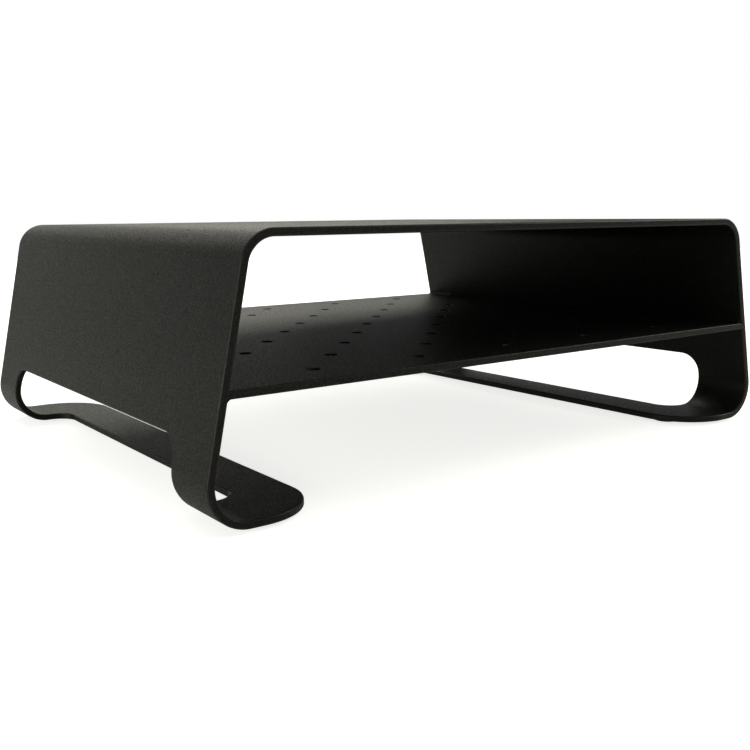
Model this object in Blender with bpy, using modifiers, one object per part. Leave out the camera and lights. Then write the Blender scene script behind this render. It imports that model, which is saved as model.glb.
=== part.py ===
"""Monitor riser stand: a bent steel sheet with a perforated storage shelf welded between its legs.

Units are metres, +Z is up, -Y is the user's side. The origin is on the desk, under the middle of
the stand. Run with: blender --background --python part.py
"""

from math import atan2, cos, pi, radians, sin, tan

import bmesh
import bpy
from mathutils import Matrix, Vector

# ---- driving dimensions ---------------------------------------------------------------------
DEPTH = 0.250  # front to rear, the same for the sheet and the shelf
RISE = 0.1020  # underside of the foot flanges to the top surface
SHEET = 0.0031  # steel sheet with its coating
GAP = 0.0003  # clearance kept between touching pieces

TOP_WIDTH = 0.2762  # where the outer faces of the top and the legs would meet
SPLAY = radians(11.85)  # how far the legs lean outwards from the vertical
TOP_BEND = 0.0105  # inside radius between the top and a leg
FOOT_BEND = 0.0130  # inside radius between a leg and its foot flange
FLANGE_SPAN = 0.2138  # distance between the inner edges of the two foot flanges
FLANGE_CORNER = 0.0265  # radius of the rounded corners of a foot flange

CUTOUT_TOP = 0.0294  # height of the cut-out's upper edge above the flange's underside
CUTOUT_SPAN = 0.2588  # distance between the cut-outs' inner edges, measured on the flanges
CUTOUT_LENGTH = 0.192  # front to rear
CUTOUT_CORNER = 0.0095  # corner radius of a cut-out

SHELF_TOP = 0.0490  # height of the shelf's upper face above the flange's underside
HOLE_DIAMETER = 0.0052
HOLE_MARGIN = 0.0195  # from the shelf's edges to the centres of the outermost holes
HOLE_COLUMNS = 11  # column lines of the staggered grid, every second one is used in a row
HOLE_ROWS = 9

WELD_LEG = 0.0019  # leg length of a fillet weld
WELD_DIP = 0.3  # how deep the concave face of a weld sags, as a share of its leg
WELD_GAP = 1.5 * GAP  # clearance between a weld and the two faces it joins
STITCH_LENGTH = 0.026  # one stitch weld
STITCHES_AT_ENDS = (-0.112, 0.0, 0.112)  # centres of the stitches that begin at the shelf's edges
STITCHES_BETWEEN = (-0.056, 0.056)  # centres of the staggered stitches on the other face

PAD_DIAMETER = 0.0127
PAD_THICKNESS = 0.0012
PAD_EDGE = 0.0003  # bevel round a pad's rim
PAD_REACH = 0.102  # pad centres, in front of and behind the middle

# ---- fineness of round shapes ---------------------------------------------------------------
BEND_STEPS = 9
CORNER_STEPS = 6
HOLE_SIDES = 12
WELD_STEPS = 4
PAD_SIDES = 32
SHARP_ANGLE = radians(25)  # edges with a larger turn stay crisp in shading
RIM_ANGLE = radians(60)  # only a pad's two rims are sharper than this
MERGE_DISTANCE = 1e-6
CUT_TOLERANCE = 1e-7

# ---- derived places -------------------------------------------------------------------------
LIFT = PAD_THICKNESS + GAP  # the sheet's underside stands this far above the desk
TOP_TURN = pi / 2 - SPLAY
FOOT_TURN = pi / 2 + SPLAY
FOOT_WIDTH = TOP_WIDTH + 2 * RISE * tan(SPLAY)


class BentSection:
    """Half of the sheet's cross-section, unrolled along its mid-plane from the stand's middle."""

    def __init__(self):
        """Works out where each flat ends, as lengths along the unrolled mid-plane."""
        top_set_back = (TOP_BEND + SHEET) * tan(TOP_TURN / 2)
        foot_set_back = (FOOT_BEND + SHEET) * tan(FOOT_TURN / 2)
        self.mid = SHEET / 2
        self.foot_set_back = foot_set_back
        self.flange_start_x = FOOT_WIDTH / 2 - foot_set_back
        self.top_end = TOP_WIDTH / 2 - top_set_back
        self.leg_start = self.top_end + (TOP_BEND + self.mid) * TOP_TURN
        self.leg_end = self.leg_start + RISE / cos(SPLAY) - top_set_back - foot_set_back
        self.flange_start = self.leg_end + (FOOT_BEND + self.mid) * FOOT_TURN
        self.blank_end = self.flange_start + self.flange_start_x - FLANGE_SPAN / 2

    def at_leg_height(self, height):
        """Unrolled length to a height on the leg, above the flange's underside."""
        return self.leg_end - (height / cos(SPLAY) - self.foot_set_back)

    def at_flange_x(self, x):
        """Unrolled length to a distance x from the stand's middle plane, on the flange."""
        return self.flange_start + self.flange_start_x - x

    def fold_lines(self):
        """Unrolled lengths of the lines that divide both bends into short flats."""
        lines = []
        for start, end in ((self.top_end, self.leg_start), (self.leg_end, self.flange_start)):
            for step in range(BEND_STEPS + 1):
                lines.append(start + (end - start) * step / BEND_STEPS)
        return lines

    def place(self, along, outward):
        """Folded (x, z) of a point at an unrolled length and a distance outward of the mid-plane."""
        top_centre = Vector((self.top_end, RISE - SHEET - TOP_BEND))
        down_leg = Vector((cos(TOP_TURN), -sin(TOP_TURN)))
        off_leg = Vector((sin(TOP_TURN), cos(TOP_TURN)))
        leg_top = top_centre + off_leg * (TOP_BEND + self.mid)
        leg_foot = leg_top + down_leg * (self.leg_end - self.leg_start)
        foot_centre = leg_foot - off_leg * (FOOT_BEND + self.mid)
        if along <= self.top_end:
            turn = 0.0
            point = Vector((along, RISE - self.mid))
        elif along <= self.leg_start:
            turn = (along - self.top_end) / (TOP_BEND + self.mid)
            point = top_centre + Vector((sin(turn), cos(turn))) * (TOP_BEND + self.mid)
        elif along <= self.leg_end:
            turn = TOP_TURN
            point = leg_top + down_leg * (along - self.leg_start)
        elif along <= self.flange_start:
            turn = TOP_TURN + (along - self.leg_end) / (FOOT_BEND + self.mid)
            point = foot_centre + Vector((sin(turn), cos(turn))) * (FOOT_BEND + self.mid)
        else:
            turn = pi
            point = foot_centre + Vector((self.flange_start - along, -FOOT_BEND - self.mid))
        return point + Vector((sin(turn), cos(turn))) * outward


SECTION = BentSection()


# ---- helpers --------------------------------------------------------------------------------
def clear_scene():
    """Removes everything the start-up file brings."""
    for thing in list(bpy.data.objects):
        bpy.data.objects.remove(thing)
    for collection in list(bpy.data.collections):
        bpy.data.collections.remove(collection)


def make_collection(name):
    """A new collection in the scene."""
    collection = bpy.data.collections.new(name)
    bpy.context.scene.collection.children.link(collection)
    return collection


def make_material(name, colour, roughness, metallic=0.0):
    """A plain Principled material."""
    material = bpy.data.materials.new(name)
    material.use_nodes = True
    shader = material.node_tree.nodes["Principled BSDF"]
    shader.inputs["Base Color"].default_value = (*colour, 1.0)
    shader.inputs["Roughness"].default_value = roughness
    shader.inputs["Metallic"].default_value = metallic
    return material


def rounded_rectangle(low, high, radius):
    """Outline points of a rectangle in the XY plane with rounded corners."""
    corners = (
        (Vector((high[0] - radius, high[1] - radius)), 0.0),
        (Vector((low[0] + radius, high[1] - radius)), pi / 2),
        (Vector((low[0] + radius, low[1] + radius)), pi),
        (Vector((high[0] - radius, low[1] + radius)), 3 * pi / 2),
    )
    points = []
    for centre, start in corners:
        for step in range(CORNER_STEPS + 1):
            angle = start + pi / 2 * step / CORNER_STEPS
            points.append(centre + Vector((cos(angle), sin(angle))) * radius)
    return points


def circle(centre, radius, sides):
    """Outline points of a circle in the XY plane."""
    return [
        Vector(centre) + Vector((cos(2 * pi * k / sides), sin(2 * pi * k / sides))) * radius
        for k in range(sides)
    ]


def plate_mesh(name, outlines, thickness):
    """A flat plate mesh, centred on the XY plane. The first outline is its rim, the rest are holes."""
    curve = bpy.data.curves.new(name, "CURVE")
    curve.dimensions = "2D"
    curve.fill_mode = "BOTH"
    curve.extrude = thickness / 2
    for outline in outlines:
        spline = curve.splines.new("POLY")
        spline.points.add(len(outline) - 1)
        for point, place in zip(spline.points, outline):
            point.co = (place[0], place[1], 0.0, 1.0)
        spline.use_cyclic_u = True
    holder = bpy.data.objects.new(name, curve)
    bpy.context.scene.collection.objects.link(holder)
    depsgraph = bpy.context.evaluated_depsgraph_get()
    mesh = bpy.data.meshes.new_from_object(holder.evaluated_get(depsgraph))
    bpy.data.objects.remove(holder)
    bpy.data.curves.remove(curve)
    shell = bmesh.new()
    shell.from_mesh(mesh)
    bmesh.ops.remove_doubles(shell, verts=shell.verts, dist=MERGE_DISTANCE)
    bmesh.ops.recalc_face_normals(shell, faces=shell.faces)
    shell.to_mesh(mesh)
    shell.free()
    mesh.name = name
    return mesh


def add_object(name, mesh, material, collection):
    """Puts a mesh in the collection as a named object with its material."""
    thing = bpy.data.objects.new(name, mesh)
    mesh.materials.clear()
    mesh.materials.append(material)
    collection.objects.link(thing)
    return thing


# ---- the bent sheet -------------------------------------------------------------------------
def cutout_outline(side):
    """The opening of one leg in the unrolled blank: over the leg, the foot bend and the flange."""
    reach = (SECTION.at_leg_height(CUTOUT_TOP), SECTION.at_flange_x(CUTOUT_SPAN / 2))
    low = (min(side * r for r in reach), -CUTOUT_LENGTH / 2)
    high = (max(side * r for r in reach), CUTOUT_LENGTH / 2)
    return rounded_rectangle(low, high, CUTOUT_CORNER)


def build_riser_body(collection, material):
    """Top, both splayed legs and both foot flanges, folded from one blank."""
    end = SECTION.blank_end
    rim = rounded_rectangle((-end, -DEPTH / 2), (end, DEPTH / 2), FLANGE_CORNER)
    mesh = plate_mesh("riser_body", [rim, cutout_outline(1), cutout_outline(-1)], SHEET)
    sheet = bmesh.new()
    sheet.from_mesh(mesh)
    for line in SECTION.fold_lines():
        for side in (1, -1):
            everything = sheet.verts[:] + sheet.edges[:] + sheet.faces[:]
            bmesh.ops.bisect_plane(
                sheet,
                geom=everything,
                dist=CUT_TOLERANCE,
                plane_co=(side * line, 0, 0),
                plane_no=(side, 0, 0),
            )
    for vertex in sheet.verts:
        side = -1 if vertex.co.x < 0 else 1
        x, z = SECTION.place(abs(vertex.co.x), vertex.co.z)
        vertex.co = (side * x, vertex.co.y, z)
    bmesh.ops.recalc_face_normals(sheet, faces=sheet.faces)
    sheet.to_mesh(mesh)
    sheet.free()
    mesh.shade_smooth()
    mesh.set_sharp_from_angle(angle=SHARP_ANGLE)
    body = add_object("riser_body", mesh, material, collection)
    body.location.z = LIFT
    return body


# ---- the shelf ------------------------------------------------------------------------------
def leg_inner_x(height):
    """Distance from the middle plane to a leg's inner face, at a height above the flange's underside."""
    return TOP_WIDTH / 2 + (RISE - height) * tan(SPLAY) - SHEET / cos(SPLAY)


def shelf_hole_centres(half_width):
    """Centres of the shelf's holes: a staggered grid with the same margin on all four sides."""
    pitch_x = 2 * (half_width - HOLE_MARGIN) / (HOLE_COLUMNS - 1)
    pitch_y = (DEPTH - 2 * HOLE_MARGIN) / (HOLE_ROWS - 1)
    centres = []
    for row in range(HOLE_ROWS):
        for column in range((row + 1) % 2, HOLE_COLUMNS, 2):
            x = (column - (HOLE_COLUMNS - 1) / 2) * pitch_x
            y = (row - (HOLE_ROWS - 1) / 2) * pitch_y
            centres.append((x, y))
    return centres


def build_shelf(collection, material):
    """The perforated shelf, a flat plate that fills the stand from leg to leg."""
    half_width = leg_inner_x(SHELF_TOP) - GAP
    right_side = [(half_width, -DEPTH / 2), (half_width, DEPTH / 2)]
    left_side = [(-half_width, DEPTH / 2), (-half_width, -DEPTH / 2)]
    outlines = [right_side + left_side]
    for centre in shelf_hole_centres(half_width):
        outlines.append(circle(centre, HOLE_DIAMETER / 2, HOLE_SIDES))
    mesh = plate_mesh("storage_shelf", outlines, SHEET)
    shelf = add_object("storage_shelf", mesh, material, collection)
    shelf.location.z = LIFT + SHELF_TOP - SHEET / 2
    return shelf


# ---- the welds ------------------------------------------------------------------------------
def weld_section(upward):
    """Section of a fillet weld in the corner at the origin, shelf towards -X and leg up or down."""
    along_shelf = Vector((-1.0, 0.0))
    along_leg = Vector((-sin(SPLAY), cos(SPLAY))) * (1 if upward else -1)
    inward = (along_shelf + along_leg).normalized()
    opening = atan2(abs(along_leg.y), -along_leg.x)
    root = inward * (WELD_GAP / sin(opening / 2))
    toe_shelf = root + along_shelf * WELD_LEG
    toe_leg = root + along_leg * WELD_LEG
    face = []
    for step in range(WELD_STEPS + 1):
        share = step / WELD_STEPS
        sag = 4 * share * (1 - share) * WELD_DIP * WELD_LEG
        face.append(toe_shelf.lerp(toe_leg, share) - inward * sag)
    return [root, *face]


def build_weld(name, side, upward, centre_y, collection, material):
    """One stitch of weld between the shelf and a leg, on the shelf's upper or lower face."""
    outline = [Vector((side * p.x, p.y)) for p in weld_section(upward)]
    mesh = plate_mesh(name, [outline], STITCH_LENGTH)
    mesh.transform(Matrix.Rotation(pi / 2, 4, "X"))
    weld = add_object(name, mesh, material, collection)
    height = SHELF_TOP if upward else SHELF_TOP - SHEET
    weld.location = (side * leg_inner_x(height), centre_y, LIFT + height)
    return weld


def build_welds(collection, material):
    """Staggered stitch welds: the two faces of the shelf take turns, and so do the two ends."""
    for side, side_name in ((-1, "left"), (1, "right")):
        for upward, face_name in ((True, "upper"), (False, "lower")):
            at_ends = (side > 0) == upward
            places = STITCHES_AT_ENDS if at_ends else STITCHES_BETWEEN
            for number, centre_y in enumerate(places, start=1):
                name = f"weld_{face_name}_{side_name}_{number}"
                build_weld(name, side, upward, centre_y, collection, material)


# ---- the pads -------------------------------------------------------------------------------
def build_pad(name, x, y, collection, material):
    """One anti-slip disc under a foot flange."""
    disc = bmesh.new()
    bmesh.ops.create_cone(
        disc,
        cap_ends=True,
        segments=PAD_SIDES,
        radius1=PAD_DIAMETER / 2,
        radius2=PAD_DIAMETER / 2,
        depth=PAD_THICKNESS,
    )
    mesh = bpy.data.meshes.new(name)
    disc.to_mesh(mesh)
    disc.free()
    pad = add_object(name, mesh, material, collection)
    pad.location = (x, y, PAD_THICKNESS / 2)
    rim = pad.modifiers.new("rim", "BEVEL")
    rim.width = PAD_EDGE
    rim.segments = 1
    rim.limit_method = "ANGLE"
    rim.angle_limit = RIM_ANGLE
    return pad


def build_pads(collection, material):
    """Four pads, one under each end of both flange strips."""
    x = (FLANGE_SPAN + CUTOUT_SPAN) / 4
    for side, side_name in ((-1, "left"), (1, "right")):
        for end, end_name in ((-1, "front"), (1, "rear")):
            name = f"foot_pad_{end_name}_{side_name}"
            build_pad(name, side * x, end * PAD_REACH, collection, material)


def main():
    """Builds the whole stand."""
    clear_scene()
    stand = make_collection("monitor_riser_stand")
    build_riser_body(stand, make_material("sheet_coat", (0.030, 0.030, 0.029), 0.62))
    build_shelf(stand, make_material("shelf_coat", (0.028, 0.028, 0.027), 0.64))
    build_welds(stand, make_material("weld_coat", (0.028, 0.028, 0.027), 0.58))
    build_pads(stand, make_material("pad_rubber", (0.018, 0.018, 0.018), 0.85))


main()
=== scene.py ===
"""Looks of the monitor riser stand: folded sheet, perforated shelf, stitch welds and foot pads.

Lengths are metres, angles radians, +Z is up and -Y is the user's side. Every piece is placed by the
boxes of the CAD nodes that it stands for.
"""

import logging
from dataclasses import dataclass, field
from enum import Enum
from math import ceil, cos, exp, pi, radians, sin, tan

import bmesh
import bpy
from mathutils import Matrix, Vector


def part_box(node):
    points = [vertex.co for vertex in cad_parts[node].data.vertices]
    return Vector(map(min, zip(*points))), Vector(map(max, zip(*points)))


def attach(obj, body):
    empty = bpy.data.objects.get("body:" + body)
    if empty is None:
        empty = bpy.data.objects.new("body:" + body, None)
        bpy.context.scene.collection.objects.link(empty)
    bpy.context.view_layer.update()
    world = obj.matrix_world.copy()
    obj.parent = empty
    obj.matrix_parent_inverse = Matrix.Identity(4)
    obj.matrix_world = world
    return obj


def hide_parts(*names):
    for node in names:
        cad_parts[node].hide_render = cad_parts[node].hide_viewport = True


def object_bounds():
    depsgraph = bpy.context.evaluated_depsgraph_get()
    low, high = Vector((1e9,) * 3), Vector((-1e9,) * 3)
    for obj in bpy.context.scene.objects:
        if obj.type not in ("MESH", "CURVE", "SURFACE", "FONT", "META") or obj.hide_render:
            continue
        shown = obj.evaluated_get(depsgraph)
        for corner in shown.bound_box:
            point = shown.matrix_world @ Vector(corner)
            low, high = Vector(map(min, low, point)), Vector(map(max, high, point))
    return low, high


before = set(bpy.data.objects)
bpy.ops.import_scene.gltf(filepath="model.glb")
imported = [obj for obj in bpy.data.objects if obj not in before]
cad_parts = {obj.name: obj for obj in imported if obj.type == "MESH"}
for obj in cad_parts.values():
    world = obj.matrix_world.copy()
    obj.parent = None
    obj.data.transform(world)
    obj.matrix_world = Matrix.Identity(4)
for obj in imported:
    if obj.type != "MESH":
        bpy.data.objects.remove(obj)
CAD_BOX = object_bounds()

LOG = logging.getLogger("riser_stand")
MM = 0.001
QUARTER = pi / 2
NORMAL_LAYER = "flat_normal"
ARRIS_LAYER = "arris"
NOISE_LOW, NOISE_HIGH = 0.3, 0.7  # the band that holds nearly all of a noise texture's values
FLAT_TOLERANCE = 1e-7  # two points nearer than this are one
BEAD_CREASE = radians(50)  # edges of a bead that turn more than this stay crisp
PAD_CREASE = radians(40)


class Side(Enum):
    """Which leg a piece belongs to, as the sign of its X."""

    LEFT = -1
    RIGHT = 1


class ShelfFace(Enum):
    """Which face of the shelf a weld lies on, as the sign of its direction along Z."""

    UPPER = 1
    LOWER = -1


# ---- finishes -------------------------------------------------------------------------------
def srgb(hex_colour: str) -> tuple[float, float, float, float]:
    """Turns an sRGB hex colour into linear RGBA.

    Args:
        hex_colour: six hex digits after a hash sign.

    Returns:
        Linear red, green, blue and an alpha of one.
    """
    channels = [int(hex_colour[k : k + 2], 16) / 255 for k in (1, 3, 5)]
    linear = [c / 12.92 if c <= 0.04045 else ((c + 0.055) / 1.055) ** 2.4 for c in channels]
    return (*linear, 1.0)


def add_node(
    tree: bpy.types.NodeTree,
    kind: str,
    settings: dict[str, object] | None = None,
    **inputs: object,
) -> bpy.types.Node:
    """Adds one shader node, sets it up and links it.

    Args:
        tree: the material's or the world's node tree.
        kind: the node's type name, without the ShaderNode in front.
        settings: the node's own properties.
        inputs: socket names in lower case with underscores, each with a value or another node's
            output. A name that ends in a number picks the socket by its place instead.

    Returns:
        The new node.
    """
    node = tree.nodes.new("ShaderNode" + kind)
    for name, value in (settings or {}).items():
        setattr(node, name, value)
    sockets = {socket.name.lower().replace(" ", "_"): socket for socket in reversed(node.inputs)}
    for name, value in inputs.items():
        socket = node.inputs[int(name[2:])] if name.startswith("at") else sockets[name]
        if isinstance(value, bpy.types.NodeSocket):
            tree.links.new(value, socket)
        else:
            socket.default_value = value
    return node


def new_material(name: str) -> tuple[bpy.types.Material, bpy.types.NodeTree]:
    """A material with an empty node tree."""
    material = bpy.data.materials.new(name)
    material.use_nodes = True
    material.node_tree.nodes.clear()
    return material, material.node_tree


@dataclass(frozen=True)
class PowderCoat:
    """Black polyester powder coat with a fine sand texture, sprayed on steel and baked.

    It gives the eye a warm satin black with a crisp grain of light and dark specks, a slow orange
    peel under it, and arrises painted lighter: partly thin powder there, partly a painted
    highlight.
    """

    name: str
    dark: str = "#030303"
    light: str = "#21201c"
    thin_coat_and_highlight: str = "#34322e"  # over an arris: partly where the powder draws thin, partly a painted highlight
    roughness: float = 0.42
    gloss_level: float = 0.2  # the sand texture hides part of the shine
    grain: float = 0.6 * MM  # the real grit is nearer 0.2 mm, drawn coarser so that it shows
    grain_height: float = 0.12 * MM
    peel: float = 2.6 * MM
    peel_height: float = 0.03 * MM
    cloud: float = 38 * MM  # the slow change of shade where the coat is thicker or thinner
    cloud_depth: float = 0.18  # how much darker the coat is where it is thickest
    face_tone: float = 0.6  # share of the colour range that the open faces use
    speck_range: tuple[float, float] = (0.44, 0.62)  # grit noise from the darkest to the lightest
    sparkle_range: tuple[float, float] = (0.4, 0.64)  # grit noise from the dullest to the glossiest
    sparkle: tuple[float, float] = (0.12, -0.1)  # change of roughness over that range
    arris_shine: float = 0.12  # how much smoother the coat is on an arris

    def make(self) -> bpy.types.Material:
        """Builds the material.

        Returns:
            The material, driven by the object's own coordinates and its arris attribute.
        """
        material, tree = new_material(self.name)
        place = add_node(tree, "TexCoord").outputs["Object"]
        grit = add_node(
            tree, "TexNoise", vector=place, scale=1 / self.grain, detail=2.0, roughness=0.7
        ).outputs["Fac"]
        peel = add_node(
            tree, "TexNoise", vector=place, scale=1 / self.peel, detail=1.0
        ).outputs["Fac"]
        cloud = add_node(
            tree, "TexNoise", vector=place, scale=1 / self.cloud, detail=3.0, roughness=0.5
        ).outputs["Fac"]
        arris = add_node(tree, "Attribute", {"attribute_name": ARRIS_LAYER}).outputs["Fac"]

        speck = add_node(
            tree,
            "MapRange",
            value=grit,
            from_min=self.speck_range[0],
            from_max=self.speck_range[1],
            to_min=0.0,
            to_max=self.face_tone,
        ).outputs["Result"]
        shade = add_node(
            tree,
            "MapRange",
            value=cloud,
            from_min=NOISE_LOW,
            from_max=NOISE_HIGH,
            to_min=1.0 - self.cloud_depth,
            to_max=1.0,
        ).outputs["Result"]
        speck_and_shade = add_node(
            tree, "Math", {"operation": "MULTIPLY"}, at0=speck, at1=shade
        ).outputs[0]
        # the arris share lifts the tone to the lightest colour: part thin powder, part painted
        # highlight
        tone = add_node(
            tree,
            "Math",
            {"operation": "MULTIPLY_ADD", "use_clamp": True},
            at0=arris,
            at1=1.0 - self.face_tone,
            at2=speck_and_shade,
        ).outputs[0]
        # dark to light over the open faces, then the arris colour, which carries the painted
        # highlight
        colour = add_node(tree, "ValToRGB", fac=tone)
        colour.color_ramp.elements[0].color = srgb(self.dark)
        colour.color_ramp.elements[1].color = srgb(self.thin_coat_and_highlight)
        colour.color_ramp.elements.new(self.face_tone).color = srgb(self.light)

        grit_gloss = add_node(
            tree,
            "MapRange",
            value=grit,
            from_min=self.sparkle_range[0],
            from_max=self.sparkle_range[1],
            to_min=self.roughness + self.sparkle[0],
            to_max=self.roughness + self.sparkle[1],
        ).outputs["Result"]
        gloss = add_node(
            tree,
            "Math",
            {"operation": "MULTIPLY_ADD", "use_clamp": True},
            at0=arris,
            at1=-self.arris_shine,
            at2=grit_gloss,
        ).outputs[0]

        waves = add_node(tree, "Bump", height=peel, distance=self.peel_height, strength=1.0)
        relief = add_node(
            tree,
            "Bump",
            height=grit,
            distance=self.grain_height,
            strength=1.0,
            normal=waves.outputs["Normal"],
        )
        shader = add_node(
            tree,
            "BsdfPrincipled",
            base_color=colour.outputs["Color"],
            roughness=gloss,
            ior=1.5,
            specular_ior_level=self.gloss_level,
            normal=relief.outputs["Normal"],
        )
        add_node(tree, "OutputMaterial", surface=shader.outputs["BSDF"])
        return material


@dataclass(frozen=True)
class PadRubber:
    """Die-cut neoprene rubber with a calendered skin.

    It gives the eye a deep, dry black with fine pores and a faint bloom of lighter grey.
    """

    name: str = "neoprene_rubber"
    dark: str = "#121212"
    light: str = "#262626"
    pore: float = 0.35 * MM
    pore_depth: float = 0.03 * MM
    bloom: float = 3.0 * MM
    bloom_range: tuple[float, float] = (0.35, 0.75)  # bloom noise from bare to fully bloomed
    dryness: tuple[float, float] = (0.72, 0.88)  # roughness from bare to fully bloomed

    def make(self) -> bpy.types.Material:
        """Builds the material.

        Returns:
            The material, driven by the object's own coordinates.
        """
        material, tree = new_material(self.name)
        place = add_node(tree, "TexCoord").outputs["Object"]
        pores = add_node(
            tree, "TexVoronoi", {"feature": "F1"}, vector=place, scale=1 / self.pore
        ).outputs["Distance"]
        bloom = add_node(
            tree, "TexNoise", vector=place, scale=1 / self.bloom, detail=4.0
        ).outputs["Fac"]
        colour = add_node(tree, "ValToRGB", fac=bloom)
        colour.color_ramp.elements[0].color = srgb(self.dark)
        colour.color_ramp.elements[1].color = srgb(self.light)
        colour.color_ramp.elements[0].position = self.bloom_range[0]
        colour.color_ramp.elements[1].position = self.bloom_range[1]
        dryness = add_node(
            tree,
            "MapRange",
            value=bloom,
            from_min=NOISE_LOW,
            from_max=NOISE_HIGH,
            to_min=self.dryness[0],
            to_max=self.dryness[1],
        ).outputs["Result"]
        relief = add_node(tree, "Bump", height=pores, distance=self.pore_depth, strength=1.0)
        shader = add_node(
            tree,
            "BsdfPrincipled",
            base_color=colour.outputs["Color"],
            roughness=dryness,
            ior=1.52,
            normal=relief.outputs["Normal"],
        )
        add_node(tree, "OutputMaterial", surface=shader.outputs["BSDF"])
        return material


@dataclass(frozen=True)
class SeamlessPaper:
    """Matt white paper lit from below on a light table: an even pale floor with faint shadows."""

    name: str = "seamless_paper"
    colour: str = "#f4f4f2"
    roughness: float = 0.9
    glow: float = 0.16  # how brightly it lights the stand from below
    open_glow: float = 0.88  # how brightly it shows

    def make(self) -> bpy.types.Material:
        """Builds the material of the floor, which is even all over."""
        material, tree = new_material(self.name)
        glow = add_node(
            tree,
            "MapRange",
            value=add_node(tree, "LightPath").outputs["Is Camera Ray"],
            to_min=self.glow,
            to_max=self.open_glow,
        ).outputs["Result"]
        shader = add_node(
            tree,
            "BsdfPrincipled",
            base_color=srgb(self.colour),
            roughness=self.roughness,
            emission_color=srgb(self.colour),
            emission_strength=glow,
        )
        add_node(tree, "OutputMaterial", surface=shader.outputs["BSDF"])
        return material


# ---- flat plates with rounded arrises -------------------------------------------------------
@dataclass
class Outline:
    """A closed line in the blank's plane, with the way off the steel at each of its points."""

    points: list[Vector] = field(default_factory=list)
    outwards: list[Vector] = field(default_factory=list)

    def arc(self, centre: Vector, radius: float, start: float, sweep: float, steps: int) -> None:
        """Adds the points of an arc, both ends included.

        Args:
            centre: the arc's centre.
            radius: its radius.
            start: direction of its first point.
            sweep: the angle that it covers.
            steps: how many chords it gets.
        """
        for step in range(steps + 1):
            angle = start + sweep * step / steps
            direction = Vector((cos(angle), sin(angle)))
            self.points.append(centre + direction * radius)
            self.outwards.append(direction)

    def turned_inward(self) -> "Outline":
        """The same line as the rim of an opening, where the steel lies outside it."""
        return Outline(self.points, [-direction for direction in self.outwards])

    @classmethod
    def rectangle(cls, low: Vector, high: Vector, radius: float, steps: int = 20) -> "Outline":
        """A rectangle with rounded corners.

        Args:
            low: its lowest corner.
            high: its highest corner.
            radius: the corners' radius.
            steps: chords in each corner.

        Returns:
            The outline, with the steel inside it.
        """
        line = cls()
        centres = (
            Vector((high.x - radius, high.y - radius)),
            Vector((low.x + radius, high.y - radius)),
            Vector((low.x + radius, low.y + radius)),
            Vector((high.x - radius, low.y + radius)),
        )
        for number, centre in enumerate(centres):
            line.arc(centre, radius, number * QUARTER, QUARTER, steps)
        return line

    @classmethod
    def circle(cls, centre: Vector, radius: float, steps: int = 40) -> "Outline":
        """A full circle, with the steel inside it."""
        line = cls()
        line.arc(centre, radius, 0.0, 2 * pi * (steps - 1) / steps, steps - 1)
        return line


@dataclass
class Plate:
    """A flat plate whose arrises are all rounded, as a coated sheet's are."""

    outlines: list[Outline]
    thickness: float
    arris: float
    arris_steps: int = 4

    def profile(self) -> list[tuple[float, float]]:
        """The edge's half-round profile.

        Returns:
            Pairs of an angle, from straight up to straight down, and the height of its centre.
        """
        half = self.thickness / 2 - self.arris
        upper = [(QUARTER * (1 - k / self.arris_steps), half) for k in range(self.arris_steps + 1)]
        return upper + [(-angle, -centre) for angle, centre in reversed(upper)]

    def build(self) -> bmesh.types.BMesh:
        """Builds the plate, centred on the XY plane.

        Returns:
            The mesh, with each vertex's true normal and its share of the arris in two layers.
        """
        plate = bmesh.new()
        normals = plate.verts.layers.float_vector.new(NORMAL_LAYER)
        shares = plate.verts.layers.float.new(ARRIS_LAYER)
        face_edges: tuple[list, list] = ([], [])
        for outline in self.outlines:
            rings = []
            for angle, centre in self.profile():
                ring = []
                for point, outward in zip(outline.points, outline.outwards):
                    flat = point - outward * self.arris * (1 - cos(angle))
                    vertex = plate.verts.new((*flat, centre + self.arris * sin(angle)))
                    vertex[normals] = Vector((*(outward * cos(angle)), sin(angle)))
                    vertex[shares] = abs(sin(2 * angle))
                    ring.append(vertex)
                rings.append(ring)
            for ring, below in zip(rings, rings[1:]):
                for k, vertex in enumerate(ring):
                    plate.faces.new((ring[k - 1], vertex, below[k], below[k - 1]))
            for ring, edges in ((rings[0], face_edges[0]), (rings[-1], face_edges[1])):
                edges += [plate.edges.get((ring[k - 1], ring[k])) for k in range(len(ring))]
        for edges in face_edges:
            bmesh.ops.triangle_fill(plate, edges=edges, use_beauty=True)
        bmesh.ops.recalc_face_normals(plate, faces=plate.faces)
        return plate


def finish_mesh(name: str, shape: bmesh.types.BMesh) -> bpy.types.Object:
    """Turns a built shape into an object that shades with its own stored normals.

    Args:
        name: the piece's name.
        shape: the mesh, with the normal layer, which is freed here.

    Returns:
        The object, linked to the scene.
    """
    layer = shape.verts.layers.float_vector[NORMAL_LAYER]
    bmesh.ops.triangulate(shape, faces=[f for f in shape.faces if len(f.verts) > 4])
    shape.verts.index_update()
    normals = [tuple(vertex[layer].normalized()) for vertex in shape.verts]
    shape.verts.layers.float_vector.remove(layer)
    mesh = bpy.data.meshes.new(name)
    shape.to_mesh(mesh)
    shape.free()
    mesh.shade_smooth()
    mesh.normals_split_custom_set_from_vertices(normals)
    piece = bpy.data.objects.new(name, mesh)
    bpy.context.scene.collection.objects.link(piece)
    return piece


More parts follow.
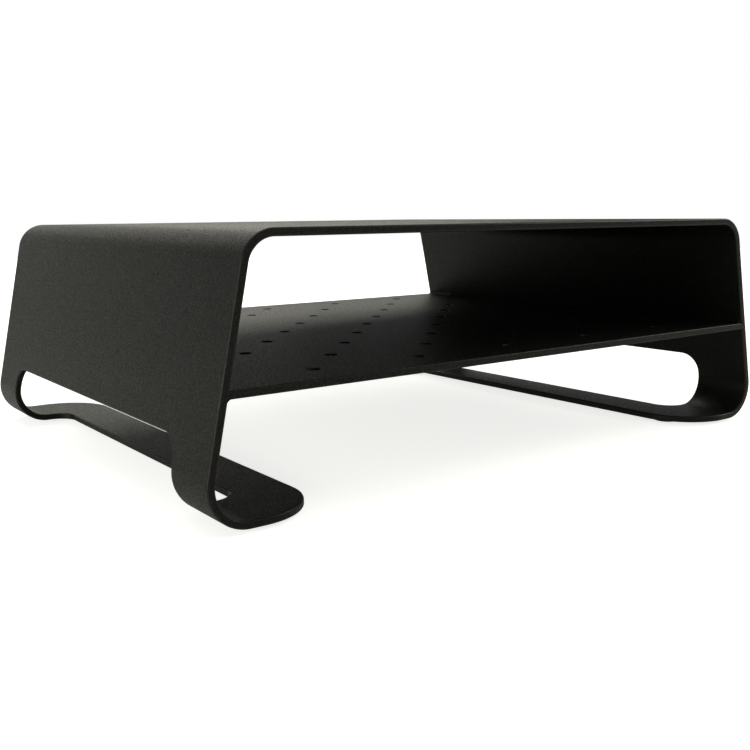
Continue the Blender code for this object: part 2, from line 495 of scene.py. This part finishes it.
def finish_round(
    name: str, shape: bmesh.types.BMesh, place: Vector, crease: float
) -> bpy.types.Object:
    """Turns a built shape into a smooth object with crisp creases.

    Args:
        name: the piece's name.
        shape: the mesh, which is freed here.
        place: how far the mesh is moved.
        crease: edges that turn more than this angle stay crisp.

    Returns:
        The object, linked to the scene.
    """
    bmesh.ops.recalc_face_normals(shape, faces=shape.faces)
    mesh = bpy.data.meshes.new(name)
    shape.to_mesh(mesh)
    shape.free()
    mesh.transform(Matrix.Translation(place))
    mesh.shade_smooth()
    mesh.set_sharp_from_angle(angle=crease)
    piece = bpy.data.objects.new(name, mesh)
    bpy.context.scene.collection.objects.link(piece)
    return piece


def dress(piece: bpy.types.Object, material: bpy.types.Material, node: str) -> None:
    """Gives a piece its finish, hangs it under the root body and hides the CAD node that it
    replaces.

    Args:
        piece: the built piece, in place.
        material: its finish.
        node: the CAD node that it replaces.
    """
    piece.data.materials.append(material)
    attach(piece, "root")
    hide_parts(node)
    LOG.info("%s: %d faces, %s", piece.name, len(piece.data.polygons), material.name)


# ---- the folded sheet -----------------------------------------------------------------------
@dataclass
class FoldedSheet:
    """The top, both splayed legs and both foot flanges, folded from one blank."""

    node: str = "riser_body"
    thickness: float = 3.1 * MM
    splay: float = radians(11.85)
    top_bend: float = 10.5 * MM
    foot_bend: float = 13.0 * MM
    flange_span: float = 213.8 * MM
    flange_corner: float = 26.5 * MM
    cutout_top: float = 29.4 * MM
    cutout_span: float = 258.8 * MM
    cutout_length: float = 192.0 * MM
    cutout_corner: float = 9.5 * MM
    arris: float = 0.8 * MM
    fold_step: float = radians(3.0)

    def __post_init__(self) -> None:
        """Works out the section's turning points along the unrolled mid-plane."""
        low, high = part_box(self.node)
        self.floor = low.z
        self.rise = high.z - low.z
        self.depth = high.y - low.y
        self.mid = self.thickness / 2
        self.top_turn = QUARTER - self.splay
        self.foot_turn = QUARTER + self.splay
        foot_outer = self.foot_bend + self.thickness
        top_set_back = (self.top_bend + self.thickness) * tan(self.top_turn / 2)
        self.foot_set_back = foot_outer * tan(self.foot_turn / 2)
        self.flange_start_x = high.x - foot_outer
        self.foot_x = self.flange_start_x + self.foot_set_back
        self.top_x = self.foot_x - self.rise * tan(self.splay)
        self.top_end = self.top_x - top_set_back
        self.leg_start = self.top_end + (self.top_bend + self.mid) * self.top_turn
        leg = self.rise / cos(self.splay) - top_set_back - self.foot_set_back
        self.leg_end = self.leg_start + leg
        self.flange_start = self.leg_end + (self.foot_bend + self.mid) * self.foot_turn
        self.blank_end = self.flange_start + self.flange_start_x - self.flange_span / 2

    def inner_x(self, height: float) -> float:
        """Distance from the stand's middle to a leg's inner face, at a height over the desk."""
        lean = (self.floor + self.rise - height) * tan(self.splay)
        return self.top_x + lean - self.thickness / cos(self.splay)

    def cutout(self, side: Side) -> Outline:
        """The opening over one leg, its foot bend and its flange, in the blank.

        Args:
            side: which leg.

        Returns:
            The opening's outline.
        """
        on_leg = self.leg_end - (self.cutout_top / cos(self.splay) - self.foot_set_back)
        on_flange = self.flange_start + self.flange_start_x - self.cutout_span / 2
        across = sorted((side.value * on_leg, side.value * on_flange))
        low = Vector((across[0], -self.cutout_length / 2))
        high = Vector((across[1], self.cutout_length / 2))
        return Outline.rectangle(low, high, self.cutout_corner).turned_inward()

    def fold_lines(self) -> list[float]:
        """Unrolled lengths of the lines that divide both bends into narrow facets."""
        lines = []
        for start, end, turn in (
            (self.top_end, self.leg_start, self.top_turn),
            (self.leg_end, self.flange_start, self.foot_turn),
        ):
            steps = ceil(turn / self.fold_step)
            lines += [start + (end - start) * step / steps for step in range(steps + 1)]
        return lines

    def turn_at(self, along: float) -> float:
        """How far the sheet has turned from level at an unrolled length."""
        in_top = (along - self.top_end) / (self.top_bend + self.mid)
        in_foot = (along - self.leg_end) / (self.foot_bend + self.mid)
        return min(max(in_top, 0.0), self.top_turn) + min(max(in_foot, 0.0), self.foot_turn)

    def middle_at(self, along: float) -> Vector:
        """Folded (x, z) of a point on the mid-plane.

        Args:
            along: its unrolled length from the stand's middle.

        Returns:
            Its place in the cross-section, from the middle and over the desk.
        """
        top_radius = self.top_bend + self.mid
        foot_radius = self.foot_bend + self.mid
        top_centre = Vector((self.top_end, self.floor + self.rise - self.mid - top_radius))
        foot_centre = Vector((self.flange_start_x, self.floor + self.mid + foot_radius))
        turn = self.turn_at(along)
        off = Vector((sin(turn), cos(turn)))
        if along <= self.top_end:
            return Vector((along, top_centre.y + top_radius))
        if along <= self.leg_start:
            return top_centre + off * top_radius
        if along <= self.leg_end:
            down = Vector((cos(turn), -sin(turn)))
            return top_centre + off * top_radius + down * (along - self.leg_start)
        if along <= self.flange_start:
            return foot_centre + off * foot_radius
        return foot_centre + Vector((self.flange_start - along, -foot_radius))

    def fold(self, vertex: bmesh.types.BMVert, layer: bmesh.types.BMLayerItem) -> None:
        """Moves a vertex of the blank to its folded place, and turns its stored normal with it.

        Args:
            vertex: a vertex of the blank.
            layer: the layer with its normal.
        """
        side = -1 if vertex.co.x < 0 else 1
        along = abs(vertex.co.x)
        turn = self.turn_at(along)
        off = Vector((sin(turn), cos(turn)))
        down = Vector((cos(turn), -sin(turn)))
        place = self.middle_at(along) + off * vertex.co.z
        normal = vertex[layer]
        turned = down * (normal.x * side) + off * normal.z
        vertex.co = Vector((side * place.x, vertex.co.y, place.y))
        vertex[layer] = Vector((side * turned.x, normal.y, turned.y))

    def build(self) -> bpy.types.Object:
        """Builds the blank, scores it at the fold lines and folds it.

        Returns:
            The sheet as one closed piece.
        """
        corner = Vector((self.blank_end, self.depth / 2))
        rim = Outline.rectangle(-corner, corner, self.flange_corner)
        outlines = [rim, self.cutout(Side.LEFT), self.cutout(Side.RIGHT)]
        blank = Plate(outlines, self.thickness, self.arris).build()
        for line in self.fold_lines():
            for side in Side:
                bmesh.ops.bisect_plane(
                    blank,
                    geom=blank.verts[:] + blank.edges[:] + blank.faces[:],
                    dist=FLAT_TOLERANCE,
                    plane_co=(side.value * line, 0, 0),
                    plane_no=(side.value, 0, 0),
                )
        layer = blank.verts.layers.float_vector[NORMAL_LAYER]
        for vertex in blank.verts:
            self.fold(vertex, layer)
        return finish_mesh("folded_sheet", blank)


# ---- the shelf ------------------------------------------------------------------------------
@dataclass
class Shelf:
    """The perforated shelf that fills the stand from leg to leg."""

    sheet: FoldedSheet
    node: str = "storage_shelf"
    hole: float = 5.2 * MM
    margin: float = 19.5 * MM
    columns: int = 11
    rows: int = 9
    arris: float = 0.6 * MM
    corner: float = 0.9 * MM
    bite: float = 0.8 * MM  # how far its ends run into the legs, so that the joint is closed

    def __post_init__(self) -> None:
        """Reads the shelf's place from its CAD node."""
        low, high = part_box(self.node)
        self.bottom = low.z
        self.top = high.z
        self.half_width = high.x
        self.half_depth = high.y

    def hole_centres(self) -> list[Vector]:
        """Centres of the staggered holes, with the same margin on all four sides."""
        pitch_x = 2 * (self.half_width - self.margin) / (self.columns - 1)
        pitch_y = 2 * (self.half_depth - self.margin) / (self.rows - 1)
        centres = []
        for row in range(self.rows):
            for column in range((row + 1) % 2, self.columns, 2):
                x = (column - (self.columns - 1) / 2) * pitch_x
                y = (row - (self.rows - 1) / 2) * pitch_y
                centres.append(Vector((x, y)))
        return centres

    def build(self) -> bpy.types.Object:
        """Builds the shelf in place, its ends slanted with the legs.

        Returns:
            The shelf as one closed piece.
        """
        middle = (self.top + self.bottom) / 2
        reach = self.sheet.inner_x(middle) + self.bite
        rim_corner = Vector((reach, self.half_depth))
        outlines = [Outline.rectangle(-rim_corner, rim_corner, self.corner, steps=4)]
        for centre in self.hole_centres():
            outlines.append(Outline.circle(centre, self.hole / 2).turned_inward())
        plate = Plate(outlines, self.top - self.bottom, self.arris).build()
        for vertex in plate.verts:
            if abs(vertex.co.x) > self.half_width - self.corner:
                lean = vertex.co.z * tan(self.sheet.splay)
                vertex.co.x -= lean if vertex.co.x > 0 else -lean
            vertex.co.z += middle
        return finish_mesh("perforated_shelf", plate)


# ---- the welds ------------------------------------------------------------------------------
@dataclass
class StitchWeld:
    """One stitch of fillet weld in the corner between the shelf and a leg, under the coat."""

    node: str
    sheet: FoldedSheet
    shelf: Shelf
    leg: float = 2.1 * MM
    dip: float = 0.16  # how deep its face sags, as a share of its leg
    ripple: float = 1.5 * MM  # one puddle of the bead
    ripple_height: float = 0.07 * MM
    sink: float = 0.12 * MM  # how far its toes run into both plates
    end_size: float = 0.25  # size of the bead at its very ends, as a share of its full size
    puddle_rise: float = 5.0  # how steeply each puddle swells at its start
    puddle_fall: float = 4.0  # how late it falls off again
    face_steps: int = 12
    along_steps: int = 160

    def __post_init__(self) -> None:
        """Reads the side, the face and the length of the stitch from its CAD node."""
        low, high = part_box(self.node)
        self.front = low.y
        self.rear = high.y
        self.side = Side.RIGHT if low.x > 0 else Side.LEFT
        middle = (low.z + high.z) / 2
        upper = middle > (self.shelf.top + self.shelf.bottom) / 2
        self.face = ShelfFace.UPPER if upper else ShelfFace.LOWER

    def section(self, fullness: float, swell: float) -> list[Vector]:
        """Section of the bead in the corner at the origin, the shelf towards -X.

        Args:
            fullness: size of the bead here, as a share of its full size.
            swell: height of the ripple here.

        Returns:
            The points of its face from the shelf to the leg, then a root point inside the joint.
        """
        slant = sin(self.sheet.splay) * self.face.value
        along_leg = Vector((-slant, cos(self.sheet.splay) * self.face.value))
        along_shelf = Vector((-1.0, 0.0))
        inward = (along_shelf + along_leg).normalized()
        size = self.leg * fullness
        toe_shelf = along_shelf * size - Vector((0.0, self.sink * self.face.value))
        toe_leg = along_leg * size + Vector((self.sink, 0.0))
        points = []
        for step in range(self.face_steps + 1):
            share = step / self.face_steps
            arch = 4 * share * (1 - share)
            offset = arch * (swell * fullness - self.dip * size)
            points.append(toe_shelf.lerp(toe_leg, share) + inward * offset)
        return points + [inward * -self.sink]

    def build(self) -> bpy.types.Object:
        """Sweeps the section along the joint, with ripples and rounded ends.

        Returns:
            The bead as one closed piece.
        """
        bead = bmesh.new()
        height = self.shelf.top if self.face is ShelfFace.UPPER else self.shelf.bottom
        corner = Vector((self.sheet.inner_x(height), height))
        length = self.rear - self.front
        rings = []
        for step in range(self.along_steps + 1):
            share = step / self.along_steps
            along = share * length
            end = min(along, length - along) / self.leg
            rounding = 2 * end - end * end if end < 1 else 1.0
            fullness = self.end_size + (1 - self.end_size) * rounding
            phase = along / self.ripple % 1.0
            rise = 1 - exp(-self.puddle_rise * phase)
            swell = self.ripple_height * rise * (1 - phase**self.puddle_fall)
            ring = []
            for point in self.section(fullness, swell):
                x = self.side.value * (corner.x + point.x)
                ring.append(bead.verts.new((x, self.front + along, corner.y + point.y)))
            rings.append(ring)
        for ring, after in zip(rings, rings[1:]):
            for k in range(len(ring)):
                bead.faces.new((ring[k - 1], ring[k], after[k], after[k - 1]))
        bead.faces.new(rings[0])
        bead.faces.new(rings[-1])
        return finish_round("bead_" + self.node, bead, Vector(), BEAD_CREASE)


# ---- the pads -------------------------------------------------------------------------------
@dataclass
class FootPad:
    """A die-cut rubber disc under a foot flange, softly rounded where it meets the desk."""

    node: str
    rim: float = 0.35 * MM
    dome: float = 0.12 * MM
    glue: float = 0.3 * MM  # thickness of the adhesive film that holds it to the flange
    steps: int = 64
    rim_steps: int = 6
    face_rings: tuple[float, ...] = (0.0, 0.3, 0.6)  # of the underside, as shares of the radius

    def profile(self, radius: float, height: float) -> list[Vector]:
        """Half of the disc's section, as (distance from the axis, height).

        Args:
            radius: the disc's radius.
            height: its height with the adhesive.

        Returns:
            Points from the middle of the underside to the middle of the top.
        """
        points = [Vector((radius * share, self.dome * share**2)) for share in self.face_rings]
        centre = Vector((radius - self.rim, self.rim + self.dome))
        for step in range(self.rim_steps + 1):
            angle = -QUARTER * (1 - step / self.rim_steps)
            points.append(centre + Vector((cos(angle), sin(angle))) * self.rim)
        top_of_rubber = height - self.glue
        points.append(Vector((radius, top_of_rubber)))
        points.append(Vector((radius - self.glue, top_of_rubber + self.glue / 2)))
        points.append(Vector((radius - self.glue, height)))
        points.append(Vector((0.0, height)))
        return points

    def build(self) -> bpy.types.Object:
        """Turns the profile about the pad's axis.

        Returns:
            The pad as one closed piece.
        """
        low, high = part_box(self.node)
        radius = (high.x - low.x) / 2
        axis = Vector(((low.x + high.x) / 2, (low.y + high.y) / 2, low.z))
        line = self.profile(radius, high.z - low.z + self.glue)
        disc = bmesh.new()
        verts = [disc.verts.new((point.x, 0.0, point.y)) for point in line]
        for start, end in zip(verts, verts[1:]):
            disc.edges.new((start, end))
        bmesh.ops.spin(
            disc,
            geom=disc.verts[:] + disc.edges[:],
            axis=(0, 0, 1),
            cent=(0, 0, 0),
            angle=2 * pi,
            steps=self.steps,
            use_merge=True,
        )
        bmesh.ops.remove_doubles(disc, verts=disc.verts, dist=FLAT_TOLERANCE)
        return finish_round("rubber_" + self.node, disc, axis, PAD_CREASE)


# ---- the studio -----------------------------------------------------------------------------
@dataclass
class Softbox:
    """One soft studio light, aimed at the stand from a heading and a height."""

    name: str
    heading: float  # degrees from straight behind the stand, towards its right
    elevation: float  # degrees over the desk
    size: tuple[float, float]
    power: float
    reach: float = 2.5
    colour: str = "#fffeed"  # warm white tubes

    def build(self, target: Vector) -> bpy.types.Object:
        """Places the light.

        Args:
            target: the point that it faces.

        Returns:
            The light, which the camera doesn't see.
        """
        heading, elevation = radians(self.heading), radians(self.elevation)
        level = Vector((sin(heading), cos(heading), 0.0)) * cos(elevation)
        away = level + Vector((0.0, 0.0, sin(elevation)))
        light = bpy.data.lights.new(self.name, "AREA")
        light.shape = "RECTANGLE"
        light.size, light.size_y = self.size
        light.energy = self.power
        light.color = srgb(self.colour)[:3]
        lamp = bpy.data.objects.new(self.name, light)
        lamp.location = target + away * self.reach
        lamp.rotation_euler = (-away).to_track_quat("-Z", "Y").to_euler()
        lamp.visible_camera = False
        bpy.context.scene.collection.objects.link(lamp)
        return lamp


@dataclass
class Camera:
    """The camera in front of the stand's left leg, a hand's breadth over the desk."""

    lens: float = 44.837  # millimetres on a 36 mm sensor
    place: tuple[float, float, float] = (-0.28606, -0.39708, 0.10733)
    heading: float = radians(36.205)  # turned from straight ahead towards +X
    pitch: float = radians(9.767)  # looking down
    roll: float = radians(-0.593)
    sensor: float = 36.0
    nearest: float = 0.01

    def build(self) -> bpy.types.Object:
        """Creates the camera and makes it the scene's.

        Returns:
            The camera.
        """
        across, forward = sin(self.heading), cos(self.heading)
        ahead = Vector((across * cos(self.pitch), forward * cos(self.pitch), -sin(self.pitch)))
        level = Vector((forward, -across, 0.0))
        upright = level.cross(ahead)
        right = level * cos(self.roll) + upright * sin(self.roll)
        up = upright * cos(self.roll) - level * sin(self.roll)
        data = bpy.data.cameras.new("studio_camera")
        data.lens = self.lens
        data.sensor_width = self.sensor
        data.clip_start = self.nearest
        camera = bpy.data.objects.new("studio_camera", data)
        turn = Matrix((right, up, -ahead)).transposed()
        low, high = CAD_BOX
        middle = Vector(((low.x + high.x) / 2, (low.y + high.y) / 2, low.z))
        camera.matrix_world = Matrix.Translation(middle + Vector(self.place)) @ turn.to_4x4()
        bpy.context.scene.collection.objects.link(camera)
        bpy.context.scene.camera = camera
        return camera


@dataclass
class Studio:
    """A pale floor lit from below, a dim room, and softboxes to the left, rear and right."""

    floor_reach: float = 2.2
    floor_cells: int = 8
    surround: float = 0.24  # brightness of the room as it lights the stand from all sides
    backdrop: float = 1.0  # brightness of the room as the camera sees it
    softboxes: tuple[Softbox, ...] = (
        Softbox("left_low", 270, 7.4, (0.9, 0.7), 22.0),
        Softbox("rear_high_right", 30, 30, (1.2, 1.0), 10.0),
        Softbox("rear_overhead", 0, 60, (1.2, 1.0), 7.1),
        Softbox("rear_high_middle", 0, 30, (1.2, 1.0), 3.8),
        Softbox("rear_low_middle", 0, 5.0, (0.9, 0.5), 1.9),
        Softbox("overhead_front_left", 240, 60, (1.2, 1.0), 1.4),
        Softbox("rear_low_right", 20, 5.0, (0.9, 0.5), 0.4),
        Softbox("right_high", 100, 28, (1.4, 1.0), 17.0),
        Softbox("front_high_right", 150, 50, (1.2, 1.0), 2.5),
    )

    def build_floor(self) -> bpy.types.Object:
        """The floor, a large plane that passes just under the pads."""
        floor = bmesh.new()
        cells = self.floor_cells
        bmesh.ops.create_grid(floor, x_segments=cells, y_segments=cells, size=self.floor_reach)
        mesh = bpy.data.meshes.new("studio_floor")
        floor.to_mesh(mesh)
        floor.free()
        piece = bpy.data.objects.new("studio_floor", mesh)
        piece.location.z = CAD_BOX[0].z
        mesh.materials.append(SeamlessPaper().make())
        bpy.context.scene.collection.objects.link(piece)
        return piece

    def build_surround(self) -> None:
        """The room's even light, and its pale colour behind the stand."""
        world = bpy.data.worlds.new("studio_room")
        world.use_nodes = True
        bpy.context.scene.world = world
        tree = world.node_tree
        tree.nodes.clear()
        rays = add_node(tree, "LightPath")
        strength = add_node(
            tree,
            "MapRange",
            value=rays.outputs["Is Camera Ray"],
            to_min=self.surround,
            to_max=self.backdrop,
        ).outputs["Result"]
        glow = add_node(tree, "Background", color=srgb("#ffffff"), strength=strength)
        add_node(tree, "OutputWorld", surface=glow.outputs["Background"])

    def build(self) -> None:
        """Builds the floor, the room, the lights and the camera."""
        low, high = CAD_BOX
        self.build_floor()
        self.build_surround()
        for softbox in self.softboxes:
            softbox.build((low + high) / 2)
        Camera().build()
        bpy.context.scene.view_settings.view_transform = "Standard"
        LOG.info("studio: %d softboxes", len(self.softboxes))


def main() -> None:
    """Builds every piece, dresses it and sets up the studio."""
    logging.basicConfig(level=logging.INFO, format="%(message)s")
    sheet_coat = PowderCoat("powder_coat_sheet").make()
    shelf_coat = PowderCoat(
        "powder_coat_shelf", light="#21201c", grain=0.9 * MM, grain_height=0.2 * MM
    ).make()
    weld_coat = PowderCoat(
        "powder_coat_weld",
        roughness=0.52,
        gloss_level=0.14,
        grain_height=0.07 * MM,
        peel=1.2 * MM,
    ).make()
    rubber = PadRubber().make()

    sheet = FoldedSheet()
    dress(sheet.build(), sheet_coat, sheet.node)
    shelf = Shelf(sheet)
    dress(shelf.build(), shelf_coat, shelf.node)
    for node in sorted(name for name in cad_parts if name.startswith("weld_")):
        weld = StitchWeld(node, sheet, shelf)
        dress(weld.build(), weld_coat, node)
    for node in sorted(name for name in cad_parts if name.startswith("foot_pad_")):
        pad = FootPad(node)
        dress(pad.build(), rubber, node)
    Studio().build()


if __name__ == "__main__":
    main()
